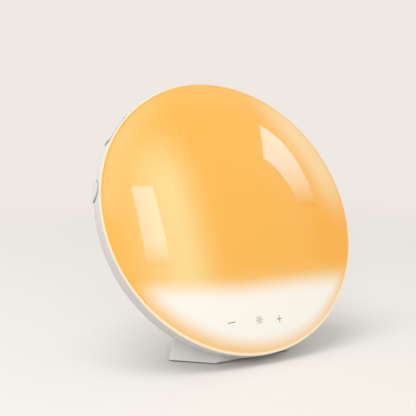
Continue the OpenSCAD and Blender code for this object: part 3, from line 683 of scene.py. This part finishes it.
def welded(node):
    """A CAD node's loose triangles, joined into solids."""
    work = bmesh.new()
    work.from_mesh(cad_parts[node].data)
    bmesh.ops.remove_doubles(work, verts=work.verts, dist=weld)
    return work


def skin_copy(node, name):
    """A CAD node's mesh, welded, with the true normals of the turned skin where it has them."""
    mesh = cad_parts[node].data.copy()
    mesh.name = name
    work = welded(node)
    work.to_mesh(mesh)
    work.free()
    mesh.shade_smooth()
    mesh.set_sharp_from_angle(angle=radians(25))
    into_disc = (Matrix.Scale(MM, 4) @ in_disc).inverted()
    turn = in_disc.to_3x3()
    normals = []
    for face in mesh.polygons:
        for vertex in face.vertices:
            p = into_disc @ mesh.vertices[vertex].co
            r = hypot(p.x, p.y)
            away, (out_r, out_z) = off_disc(r, p.z)
            out = turn @ Vector((out_r * p.x / r, out_r * p.y / r, out_z)) if r > 0.1 else Vector()
            facing = out.dot(face.normal)
            skin = abs(facing) > along_skin and min(abs(away), abs(away + housing_t)) < on_skin
            normals.append(out.normalized() * (1 if facing > 0 else -1) if skin else Vector())
    mesh.normals_split_custom_set(normals)
    return mesh


def on_wall(around, behind):
    """The frame of a side control: its origin on the skin, this far behind where the wall starts to turn in, z out
    of the wall and y round the rim."""
    return (
        Matrix.Rotation(radians(around), 4, "Z")
        @ Matrix.Translation((corner_c, 0, -wall_d))
        @ Matrix.Rotation(radians(90) + asin(behind / corner_r), 4, "Y")
        @ Matrix.Translation((0, 0, corner_r))
    )


keys_at, key_len, key_w, key_corner_r = 130.3, 20.5, 11.0, 2.4
button_place = on_wall(button_at, 3.3)
keys_place = on_wall(keys_at, 1.3)
white = finish("white_plastic", (240, 239, 237), 0.42, mottle=0.008, grain=0.25, depth=0.004)
# Painted shade: a mid grey on the caps' sides and a dark grey on the walls of the openings stand for the shadow in
# the parting gaps
painted_side_shade = finish("cap_side_painted_shade", (176, 176, 180), 0.55, mottle=0.02, grain=0.25, depth=0.004)
painted_gap_shade = finish("parting_gap_painted_shade", (78, 78, 82), 0.6, mottle=0.03, grain=0.25, depth=0.012)
steep, past_gap, button_hole, keys_hole = 0.35, 1, 4, 6


def paint_gap_shade(mesh, place, half_w, half_l, lowest, tone=painted_gap_shade):
    """Paints shade on the walls of a parting gap, as a grey: faces that stand up steeply from the skin, within a
    control's outline and above the lowest level."""
    if len(mesh.materials) < 2:
        coat(mesh, white, tone)
    into = (Matrix.Scale(MM, 4) @ in_disc @ place).inverted()
    for face in mesh.polygons:
        c = into @ face.center
        level = abs((into.to_3x3() @ face.normal).normalized().z)
        if level < steep and abs(c.x) < half_w and abs(c.y) < half_l and lowest < c.z:
            face.material_index = 1


housing_mesh = skin_copy("rear_housing", "housing_skin")
# Painted shade: the walls of the button's and the keys' openings take the dark grey
paint_gap_shade(housing_mesh, button_place, button_r + past_gap, button_r + past_gap, -button_hole)
paint_gap_shade(housing_mesh, keys_place, key_w / 2 + past_gap, key_len + past_gap, -keys_hole)
add_piece("housing_skin", housing_mesh, "clock", None, ["rear_housing"])
grille_mesh = skin_copy("speaker_grille", "grille_skin")
add_piece("grille_skin", grille_mesh, "clock", white, ["speaker_grille"])


# ---------- side controls ----------
# A round button and two long keys, moulded in the housing's plastic. Each follows the wall's curve, stands
# a little proud of it, has softened edges and goes in on a stem with lugs behind the wall.
key_proud, key_edge, key_gap, part_gap = 0.95, 0.3, 0.3, 0.3
lug_w, lug_t, button_lug_half, key_lug_half, key_lug_in = 1.6, 1.1, 3, 3.5, 2
catch_at, catch_l = 3, 6
stem_r, stem_in, button_stem, key_stem = 2.4, 0.5, 1.7, 0.6
# The undersides lie deep enough for their lugs to clear the wall all along its curve, with some to spare
behind_wall, cap_spare, key_spare = housing_t + part_gap + lug_t, 0.55, 0.8
cap_low = behind_wall + (button_r + lug_w) ** 2 / (2 * wall_r) + cap_spare
key_low = behind_wall + (key_len + lug_w) ** 2 / (2 * wall_r) + key_spare
past_side, caps_deep = 0.1, 8
top_rings, edge_rings, settling_steps = 11, 5, 40


def skin_height(place, x, y, proud):
    """Height over a wall frame where the skin, moved outwards by proud, passes over (x, y). Each step goes by the
    distance that is left."""
    z = 0.0
    for _ in range(settling_steps):
        p = place @ Vector((x, y, z))
        z -= off_disc(hypot(p.x, p.y), p.z)[0] - proud
    return z


def middle_of(points):
    return sum((Vector(p) for p in points), Vector()) / len(points)


def lofted(name, rings):
    """A closed mesh through rings of as many points each, with a fan at both ends."""
    count = len(rings[0])
    verts = [middle_of(rings[0])]
    for ring in rings:
        verts += ring
    verts.append(middle_of(rings[-1]))
    faces = [(0, 1 + i, 1 + (i + 1) % count) for i in range(count)]
    for k in range(len(rings) - 1):
        a, b = 1 + k * count, 1 + (k + 1) * count
        faces += [(a + i, b + i, b + (i + 1) % count, a + (i + 1) % count) for i in range(count)]
    last = 1 + (len(rings) - 1) * count
    faces += [(len(verts) - 1, last + (i + 1) % count, last + i) for i in range(count)]
    mesh = bpy.data.meshes.new(name)
    mesh.from_pydata([tuple(v) for v in verts], [], faces)
    return outward(mesh)


def rounded_box(low, high, soften=0.15):
    """A block between two corners with softened edges."""
    work = bmesh.new()
    bmesh.ops.create_cube(work, size=1)
    low, high = Vector(low), Vector(high)
    for v in work.verts:
        v.co = (low + high) / 2 + Vector(a * b for a, b in zip(v.co, high - low))
    bmesh.ops.bevel(work, geom=work.edges[:], offset=soften, segments=2, affect="EDGES", profile=0.5)
    mesh = bpy.data.meshes.new("block")
    work.to_mesh(mesh)
    work.free()
    return mesh


def cap(place, outline, low):
    """A cap over an outline of (x, y, inward x, inward y), from its flat underside up to the curved, proud top."""
    middle = sum((Vector(o[:2]) for o in outline), Vector((0, 0))) / len(outline)

    def ring(spots, drop=0.0):
        return [(p.x, p.y, skin_height(place, p.x, p.y, key_proud) - drop) for p in spots]

    def inset(by):
        return [Vector((ox + nx * by, oy + ny * by)) for ox, oy, nx, ny in outline]

    rings = [
        ring([middle.lerp(p, k / top_rings) for p in inset(key_edge)]) for k in range(1, top_rings + 1)
    ]
    for k in range(1, edge_rings + 1):
        turn = radians(90 * k / edge_rings)
        rings.append(ring(inset(key_edge * (1 - sin(turn))), key_edge * (1 - cos(turn))))
    rings.append([(ox, oy, -low) for ox, oy, _, _ in outline])
    return lofted("cap", rings)


def round_outline(radius, steps=64):
    angles = [2 * pi * i / steps for i in range(steps)]
    return [(radius * cos(a), radius * sin(a), -cos(a), -sin(a)) for a in angles]


def key_outline(side, small=0.7, steps=6, spacing=1.6):
    """A long key's outline, square where it meets its neighbour and round at its outer end."""
    x1, y0, y1 = key_w / 2, key_gap, key_len
    points = []
    for cx, cy, radius, start in (
        (x1 - small, y0 + small, small, -90),
        (x1 - key_corner_r, y1 - key_corner_r, key_corner_r, 0),
        (-x1 + key_corner_r, y1 - key_corner_r, key_corner_r, 90),
        (-x1 + small, y0 + small, small, 180),
    ):
        for i in range(steps + 1):
            a = radians(start + 90 * i / steps)
            points.append((cx + radius * cos(a), cy + radius * sin(a), -cos(a), -sin(a)))
    full = []
    for a, b in zip(points, points[1:] + points[:1]):
        pieces = max(1, round(hypot(b[0] - a[0], b[1] - a[1]) / spacing))
        full += [tuple(a[j] + (b[j] - a[j]) * i / pieces for j in range(4)) for i in range(pieces)]
    return [(px, side * py, nx, side * ny) for px, py, nx, ny in full]


def stem(underside, reach, y=0.0):
    """A round stem that leaves a cap's underside and reaches this far below it."""
    circle = round_outline(stem_r, 24)
    levels = (-underside - reach, -underside + stem_in)
    return lofted("stem", [[(a, y + b, z) for a, b, _, _ in circle] for z in levels])


button_parts = [
    cap(button_place, round_outline(button_r), cap_low),
    rounded_box(
        (-button_lug_half, -button_r - lug_w, -cap_low),
        (button_lug_half, button_r + lug_w, -cap_low + lug_t),
    ),
    stem(cap_low, button_stem),
]
button_mesh = finish_mesh(joined("round_button", button_parts), in_disc @ button_place)
# Painted shade: the button cap's sides take the mid grey
paint_gap_shade(button_mesh, button_place, button_r + past_side, button_r + past_side, -caps_deep, painted_side_shade)
add_piece("round_button", button_mesh, "power_button", None, ["power_button"])
for side, key in ((-1, "upper_key"), (1, "lower_key")):
    end_lug = sorted((side * (key_len - key_lug_in), side * (key_len + lug_w)))
    catch = sorted((side * catch_at, side * (catch_at + catch_l)))
    key_parts = [
        cap(keys_place, key_outline(side), key_low),
        rounded_box((-key_lug_half, end_lug[0], -key_low), (key_lug_half, end_lug[1], -key_low + lug_t)),
        rounded_box((0, catch[0], -key_low), (key_w / 2 + lug_w, catch[1], -key_low + lug_t)),
        stem(key_low, key_stem, side * key_len / 2),
    ]
    key_mesh = finish_mesh(joined(key + "_cap", key_parts), in_disc @ keys_place)
    # Painted shade: each key cap's sides take the mid grey
    paint_gap_shade(key_mesh, keys_place, key_w / 2 + past_side, key_len + past_side, -caps_deep, painted_side_shade)
    add_piece(key + "_cap", key_mesh, key, None, [key])

# ---------- stand ----------
# A low hollow block in the same white plastic, its flat faces leaning in towards the cradle that takes the
# disc's back. The corners and edges are softened, and two bolts from inside hold it to the housing.
# The edges to soften are longer than least_edge, and outer faces larger than least_face, in square millimetres, meet
# there at more than least_turn
soft_edge, least_edge, least_face, least_turn = 0.9, 3, 100, radians(10)
stand_low, stand_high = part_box("stand_shell")
stand_middle = Vector((0, (stand_low.y + stand_high.y) / 2, 10 * MM))
stand_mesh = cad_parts["stand_shell"].data.copy()
work = welded("stand_shell")
bmesh.ops.dissolve_limit(
    work, angle_limit=radians(0.5), verts=work.verts, edges=work.edges, use_dissolve_boundaries=False
)
work.normal_update()


def is_outer_face(face):
    """One of the stand's large flat outer faces, its underside among them."""
    outwards = (face.calc_center_median() - stand_middle).dot(face.normal) > 0
    return outwards and face.calc_area() > least_face * MM**2


outer_edges = [
    e
    for e in work.edges
    if len(e.link_faces) == 2
    and e.calc_length() > least_edge * MM
    and all(is_outer_face(f) for f in e.link_faces)
    and e.calc_face_angle() > least_turn
]
bmesh.ops.bevel(
    work, geom=outer_edges, offset=soft_edge * MM, segments=4, profile=0.5, affect="EDGES", clamp_overlap=False
)
work.to_mesh(stand_mesh)
work.free()
stand_mesh.shade_smooth()
stand_mesh.set_sharp_from_angle(angle=radians(28))


def weigh_normals(modifiers):
    """Keeps flat faces flat next to their soft edges."""
    modifiers.new("normals", "WEIGHTED_NORMAL").keep_sharp = True


stand_skin = evaluated(stand_mesh, weigh_normals)
add_piece("stand_skin", stand_skin, "clock", white, ["stand_shell"])

# ---------- base plate, ballast and feet ----------
# A satin plate closes the stand from below. A zinc-plated steel block inside keeps the clock from tipping, and
# four soft rubber pads sit in shallow pockets and stand on the table.
def dress(material, *nodes):
    """Gives a finish to CAD pieces whose shape stays."""
    for node in nodes:
        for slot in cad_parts[node].material_slots:
            slot.material = material


def solids_of(node):
    """The points of each separate solid of a CAD node, in a fixed order."""
    work = welded(node)
    found, seen = [], set()
    for first in work.verts:
        if first in seen:
            continue
        seen.add(first)
        group, edge = [], [first]
        while edge:
            vertex = edge.pop()
            group.append(vertex.co.copy())
            for link in vertex.link_edges:
                other = link.other_vert(vertex)
                if other not in seen:
                    seen.add(other)
                    edge.append(other)
        found.append(group)
    work.free()
    return sorted(found, key=lambda group: tuple(round(c, 4) for c in middle_of(group)))


dress(finish("base_white", (226, 225, 222), 0.55, mottle=0.02, grain=0.35, depth=0.02), "stand_base_plate")
zinc = finish("zinc_plate", (178, 180, 178), 0.38, mottle=0.08, grain=0.5, depth=0.008, spread=0.2, metallic=1.0)
dress(zinc, "ballast_plate")

pad_rubber = finish("pad_rubber", (66, 65, 64), 0.78, mottle=0.05, grain=0.3, depth=0.03)
foot_r, foot_round = 5.0, 0.5
pads = []
for pad in solids_of("foot_pads"):
    low, high = (Vector(f(p[i] for p in pad) for i in range(3)) for f in (min, max))
    middle = (low + high) / (2 * MM)
    base, top = low.z / MM, high.z / MM
    pad_section = (
        [(0, base), (foot_r - foot_round, base)]
        + arc((foot_r - foot_round, base + foot_round), foot_round, -90, 0, 5)
        + [(foot_r, top), (0, top)]
    )
    mesh = turned("pad", pad_section, 48)
    mesh.transform(Matrix.Translation((middle.x, middle.y, 0)))
    pads.append(mesh)
pad_mesh = finish_mesh(joined("foot_pad_set", pads), Matrix())
add_piece("foot_pad_set", pad_mesh, "clock", pad_rubber, ["foot_pads"])


# ---------- screws ----------
# Bright zinc machine screws with cross recesses hold the boards, tray, speaker, ballast and base plate, and two
# larger ones bolt the stand to the housing. One tree makes each kind, set on the points where its screws go.
screw_tree, wires = new_tree(
    "machine_screw",
    {"Shank Radius": 1.45, "Head Radius": 2.7, "Head Height": 1.6, "Shank Length": 8.0}
    | {"Thread Pitch": 0.5, "Thread Depth": 0.15, "Scale": MM, "Material": None},
)
points = wires["Geometry"]
pitch, length, shank_r = wires["Thread Pitch"], wires["Shank Length"], wires["Shank Radius"]
head_h, head_r = wires["Head Height"], wires["Head Radius"]


def moved(mesh, height):
    """A tree's mesh, moved up by a height."""
    up = vector_of(0, 0, height)
    return mesh.node("GeometryNodeTransform", inputs={"Geometry": mesh, "Translation": up})


def drum(radius, depth, sides, rings):
    """A cylinder that stands on its end at the origin."""
    made = points.node(
        "GeometryNodeMeshCylinder",
        inputs={"Vertices": sides, "Side Segments": rings, "Radius": radius, "Depth": depth},
    )
    return moved(made, depth * 0.5)


def shaped(mesh, shrink):
    """A drum whose points move towards its axis by these shares of their radius."""
    px, py, _ = points.node("GeometryNodeInputPosition").split()
    return mesh.node(
        "GeometryNodeSetPosition",
        inputs={"Geometry": mesh, "Offset": vector_of(px * shrink * -1, py * shrink * -1, 0)},
    )


def less(mesh, tool):
    return mesh.node("GeometryNodeMeshBoolean", {"operation": "DIFFERENCE"}, {"Mesh 1": mesh, "Mesh 2": tool})


def set_on_points(tree, wires, mesh):
    """Ends a tree in a copy of its mesh on each point that comes in, turned by the point's aim."""
    points = wires["Geometry"]
    aim = points.node("GeometryNodeInputNamedAttribute", {"data_type": "FLOAT_VECTOR"}, {"Name": "aim"})
    copies = points.node(
        "GeometryNodeInstanceOnPoints",
        inputs={
            "Points": points,
            "Instance": mesh,
            "Rotation": aim.node("FunctionNodeEulerToRotation", inputs={0: aim}),
            "Scale": vector_of(wires["Scale"], wires["Scale"], wires["Scale"]),
        },
    )
    close_tree(tree, copies, wires["Material"])


# The thread is a row of rings, four to each turn, and its shank reaches a quarter of the way into the head
_, _, up = points.node("GeometryNodeInputPosition").split()
groove = ((up * (2 * pi) / pitch).maths("COSINE") * 0.5 + 0.5) * wires["Thread Depth"] / shank_r
shank = drum(shank_r, length + head_h * 0.25, 20, (length / pitch * 4).maths("ROUND"))
thread = moved(shaped(shank, groove), length * -1)
head = shaped(drum(head_r, head_h, 32, 6), (up / head_h).ramp(0.55, 1.0) * 0.2)
# The two bars of the cross end at depths of their own, so that no faces of theirs lie in one plane
bar_top = 1.3
for wide, deep, low in ((1.15, 0.26, 0.45), (0.26, 1.15, 0.4)):
    bar_size = vector_of(head_r * wide, head_r * deep, head_h * (bar_top - low))
    bar = points.node("GeometryNodeMeshCube", inputs={"Size": bar_size})
    head = less(head, moved(bar, head_h * (bar_top + low) / 2))
whole = head.node("GeometryNodeJoinGeometry", inputs={"Geometry": head})
screw_tree.links.new(thread.socket, whole.socket.node.inputs["Geometry"])
set_on_points(screw_tree, wires, whole)


def standing(node, head_height):
    """Where each screw of a CAD node stands: the points under their heads, their turns, and their length."""
    places, turns, level = [], [], 1e-5
    for solid in solids_of(node):
        middle = middle_of(solid)
        spread = np.array([tuple(p - middle) for p in solid])
        axis = Vector(np.linalg.eigh(spread.T @ spread)[1][:, 2])
        along = [(p - middle).dot(axis) for p in solid]
        wide = [((p - middle) - a * axis).length for p, a in zip(solid, along)]
        if max(zip(wide, along))[1] < (min(along) + max(along)) / 2:
            axis, along = -axis, [-a for a in along]
        tip = [p for p, a in zip(solid, along) if abs(a - min(along)) < level]
        reach = (max(along) - min(along)) / MM - head_height
        places.append(middle_of(tip) + axis * reach * MM)
        turns.append(axis.to_track_quat("Z", "Y").to_euler())
    return places, turns, reach


def copies_of(tree, name, places, turns, values):
    """A tree's mesh, grown on points at these places in metres with these turns."""
    seats = bpy.data.meshes.new(name)
    seats.from_pydata(places, [], [])
    aims = seats.attributes.new("aim", "FLOAT_VECTOR", "POINT").data
    for i, turn in enumerate(turns):
        aims[i].vector = turn
    return finish_mesh(grown(tree, seats, values), Matrix.Scale(1 / MM, 4))


steel = finish("screw_zinc", (190, 191, 192), 0.3, mottle=0.05, grain=0.12, depth=0.003, spread=0.15, metallic=1.0)
screw_measures = ("Shank Radius", "Head Radius", "Head Height", "Thread Pitch", "Thread Depth")
screw_sizes = {
    "m2": (0.95, 1.8, 1.0, 0.4, 0.12),
    "m25": (1.2, 2.2, 1.2, 0.45, 0.135),
    "m3": (1.45, 2.7, 1.6, 0.5, 0.15),
}
for kind, size in (
    ("touch_board_screw", "m2"),
    ("tray_screw", "m25"),
    ("speaker_screw", "m2"),
    ("main_board_screw", "m2"),
    ("key_board_screw", "m2"),
    ("base_screw", "m25"),
    ("ballast_screw", "m25"),
    ("stand_bolt", "m3"),
):
    values = dict(zip(screw_measures, screw_sizes[size]), Material=steel)
    places, turns, values["Shank Length"] = standing(kind + "s", values["Head Height"])
    mesh = copies_of(screw_tree, kind, places, turns, values)
    add_piece(kind + "_set", mesh, "clock", None, [kind + "s"])


# ---------- light box ----------
# Behind the opal front: a milky diffusing film, a white reflector tray, and a white aluminium-backed board that
# carries rings of warm LED chips, each a white package with a yellow phosphor window.
dress(finish("film_milk", (244, 243, 238), 0.45, mottle=0.01, grain=0.5, depth=0.004), "diffuser_film")
dress(finish("tray_white", (243, 243, 241), 0.3, mottle=0.012, grain=0.3, depth=0.006), "reflector_tray")


def board_finish(name, mask, track, lane=0.9):
    """A circuit board under solder mask: tracks of this width in millimetres show through as a lighter tone."""
    material, coords = new_material(name)
    tracks = coords.node(
        "ShaderNodeTexBrick",
        {"offset": 0.37, "offset_frequency": 3, "squash": 2.4, "squash_frequency": 4},
        {"Vector": coords, "Scale": 1 / (6 * lane * MM), "Mortar Size": 0.02, "Mortar Smooth": 0.2}
        | {"Brick Width": 1.7, "Row Height": 0.42},
        output="Fac",
    )
    wander = coords.noise(1 / (6 * MM), 3.0)
    shader = coords.node(
        "ShaderNodeBsdfPrincipled",
        inputs={
            "Base Color": coords.colour(mask).mix(tracks * wander.ramp(0.4, 0.55), track),
            "Roughness": 0.32 + wander * 0.12,
            "Normal": tracks.bump(0.03 * MM, 0.4),
        },
    )
    return close_material(material, shader)


dress(board_finish("led_board_white", rgb(236, 236, 232), rgb(230, 230, 226)), "led_board")

# The window is a round well in the package's top. Its width is a share of the short side, and its floor's height
# over the middle is one of the thickness
chip_tree, wires = new_tree(
    "led_chip",
    {"Package": (3.5, 2.8, 0.8), "Window": 0.78, "Window Floor": 0.32, "Scale": MM, "Material": None},
)
_, short_side, thick = wires["Package"].split()
package = thick.node("GeometryNodeMeshCube", inputs={"Size": wires["Package"]})
well_r = short_side * 0.5 * wires["Window"]
well = thick.node("GeometryNodeMeshCylinder", inputs={"Vertices": 20, "Radius": well_r, "Depth": thick})
set_on_points(chip_tree, wires, less(package, moved(well, thick * (wires["Window Floor"] + 0.5))))

chip_places, chip_turns = [], []
for chip in solids_of("led_chips"):
    middle = middle_of(chip)
    inward = in_disc.inverted() @ (middle / MM)
    chip_places.append(middle)
    spin = in_disc.to_3x3() @ Matrix.Rotation(atan2(inward.y, inward.x), 3, "Z")
    chip_turns.append(spin.to_euler())
chip_mesh = copies_of(chip_tree, "led_places", chip_places, chip_turns, {})
package_white = finish("led_package", (238, 236, 228), 0.35, mottle=0.01, grain=0.1, depth=0.002)
phosphor = finish("led_phosphor", (244, 208, 84), 0.5, mottle=0.08, grain=0.06, depth=0.006)
coat(chip_mesh, package_white, phosphor)
front = in_disc.to_3x3() @ Vector((0, 0, 1))
chip_top = max(v.co.dot(front) for v in chip_mesh.vertices)
below_top, faces_front = 0.05, 0.9
for face in chip_mesh.polygons:
    sunk = face.center.dot(front) < chip_top - below_top * MM
    face.material_index = int(sunk and face.normal.dot(front) > faces_front)
add_piece("led_chip_set", chip_mesh, "clock", None, ["led_chips"])

# ---------- time display and touch board ----------
# Behind the opal's middle, a grey-white LED display whose four digits shine through it when they are lit.
# Under the touch marks, a small board whose three foam pads press conductive film against the dome.
dress(finish("display_white", (222, 221, 215), 0.42, mottle=0.015, grain=0.25, depth=0.006), "display_module")
dress(finish("segment_milk", (250, 240, 216), 0.3, mottle=0.02, grain=0.1, depth=0.004), "display_segments")
mask_green = board_finish("board_green", rgb(38, 92, 60), rgb(62, 122, 82))
dress(mask_green, "touch_board")
dress(finish("foam_grey", (78, 78, 80), 0.92, mottle=0.22, grain=0.35, depth=0.12), "touch_foam_pads")

# ---------- speaker ----------
# A small driver that fires backwards through the grille: pressed steel basket, black paper cone with a foam
# surround and a felt dust cap, a copper voice coil, and a ferrite magnet in a plated cup.
dress(finish("basket_enamel", (44, 45, 47), 0.45, mottle=0.08, grain=0.3, depth=0.01), "speaker_basket")
dress(finish("cone_paper", (70, 67, 62), 0.85, mottle=0.16, grain=0.45, depth=0.05), "speaker_cone", "dust_cap")
foam = finish("foam_black", (40, 40, 41), 0.9, mottle=0.2, grain=0.3, depth=0.09)
dress(foam, "speaker_surround", "speaker_gasket")
cup = finish("magnet_plate", (168, 170, 172), 0.35, mottle=0.06, grain=0.3, depth=0.006, spread=0.18, metallic=1.0)
dress(cup, "speaker_magnet")

winding, coords = new_material("coil_winding")
wire_d = 0.28
strand = (disc_coords(coords).split()[2] * (2 * pi / wire_d)).maths("SINE") * 0.5 + 0.5
coil_shader = coords.node(
    "ShaderNodeBsdfPrincipled",
    inputs={
        "Base Color": coords.colour(rgb(150, 82, 44)).mix(strand, rgb(204, 122, 72)),
        "Metallic": 1.0,
        "Roughness": 0.3 + strand * 0.1,
        "Normal": strand.bump(0.1 * MM, 0.8),
    },
)
dress(close_material(winding, coil_shader), "voice_coil")

# ---------- electronics ----------
# The main board with its chips and capacitors, a coin cell that keeps the time, the header to the LED board and
# the power inlet, a moulded block with a brass pin. The side keys press small switches on two boards of their own.
dress(mask_green, "main_board", "key_boards")
dress(finish("chip_epoxy", (34, 35, 37), 0.5, mottle=0.06, grain=0.2, depth=0.006), "board_chips")
nylon = finish("black_nylon", (38, 38, 40), 0.42, mottle=0.05, grain=0.25, depth=0.008)
dress(nylon, "board_header", "coin_cell_holder", "dc_inlet", "key_switches")
dress(nylon, "power_plunger", "upper_key_plunger", "lower_key_plunger")
sleeve = finish("capacitor_sleeve", (52, 66, 92), 0.35, mottle=0.05, grain=0.4, depth=0.004, coat=0.4)
dress(sleeve, "board_capacitors")
cell = finish("cell_steel", (198, 199, 200), 0.26, mottle=0.04, grain=0.2, depth=0.002, spread=0.15, metallic=1.0)
dress(cell, "coin_cell")
brass = finish("pin_brass", (212, 172, 92), 0.28, mottle=0.05, grain=0.15, depth=0.002, spread=0.12, metallic=1.0)
dress(brass, "dc_inlet_pin")
